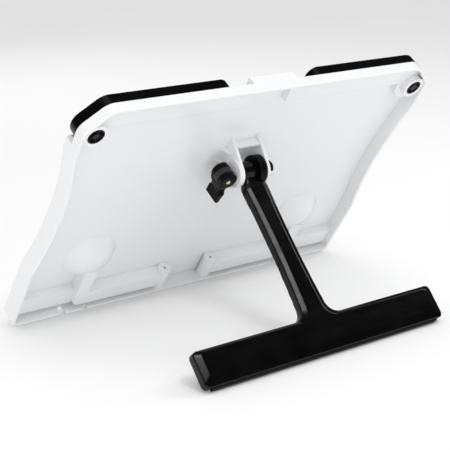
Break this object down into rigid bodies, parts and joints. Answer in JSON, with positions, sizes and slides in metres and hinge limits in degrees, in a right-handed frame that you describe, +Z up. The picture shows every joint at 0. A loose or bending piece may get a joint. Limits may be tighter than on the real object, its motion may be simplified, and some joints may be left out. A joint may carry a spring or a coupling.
{
  "type": "portable drawing board",
  "caption": "Moulded portable drawing board that leans back on a folding T-shaped stand with a cam-lever hinge, and carries swing-out page arms in its top corners.",
  "frame": {"origin": "centre of the bounding box's footprint, on the floor that the board's lower back edge and the stand's foot rest on", "axes": "+X along the board's width towards the lever side, -Y the way the drawing face looks, +Z up"},
  "size_m": [0.427, 0.2702, 0.2612],
  "materials": {
    "white_shell": "satin gloss moulded polymer",
    "black_plastic": "satin gloss moulded polymer",
    "black_hardware": "fine matt moulded polymer",
    "rubber": "matt",
    "steel": "zinc plated",
    "black_steel": "black oxide",
    "brass": "turned"
  },
  "bodies": {
    "board": {"board_shell": "white_shell", "left_arm_cap": "black_hardware", "left_arm_screw": "black_steel", "left_arm_spring_washer": "steel", "right_arm_cap": "black_hardware", "right_arm_screw": "black_steel", "right_arm_spring_washer": "steel", "eye_bolt": "black_steel", "lever_pin": "brass", "cam_washer": "white_shell", "clamp_nut": "black_hardware", "nut_washer": "steel", "release_spring_washer": "steel"},
    "left_page_arm": {"left_page_arm": "black_plastic"},
    "right_page_arm": {"right_page_arm": "black_plastic"},
    "stand": {"stand_leg": "black_plastic", "pivot_sleeve": "steel", "locking_disc": "black_hardware", "stand_foot_strip": "rubber"},
    "lever": {"clamp_lever": "black_hardware"}
  },
  "joints": [
    {"name": "stand_fold", "type": "hinge", "parent": "board", "child": "stand", "pos_m": [0, -0.00019, 0.15671], "axis": [1, 0, 0], "range_deg": [-75, 30]},
    {"name": "left_arm_swing", "type": "hinge", "parent": "board", "child": "left_page_arm", "pos_m": [0.1972, 0.02516, 0.23067], "axis": [0, 0.8241, -0.5664], "range_deg": [0, 90]},
    {"name": "right_arm_swing", "type": "hinge", "parent": "board", "child": "right_page_arm", "pos_m": [-0.1972, 0.02516, 0.23067], "axis": [0, -0.8241, 0.5664], "range_deg": [0, 90]},
    {"name": "lever_throw", "type": "hinge", "parent": "board", "child": "lever", "pos_m": [0.031, -0.00019, 0.15671], "axis": [0, -0.8241, 0.5664], "range_deg": [0, 90]}
  ]
}
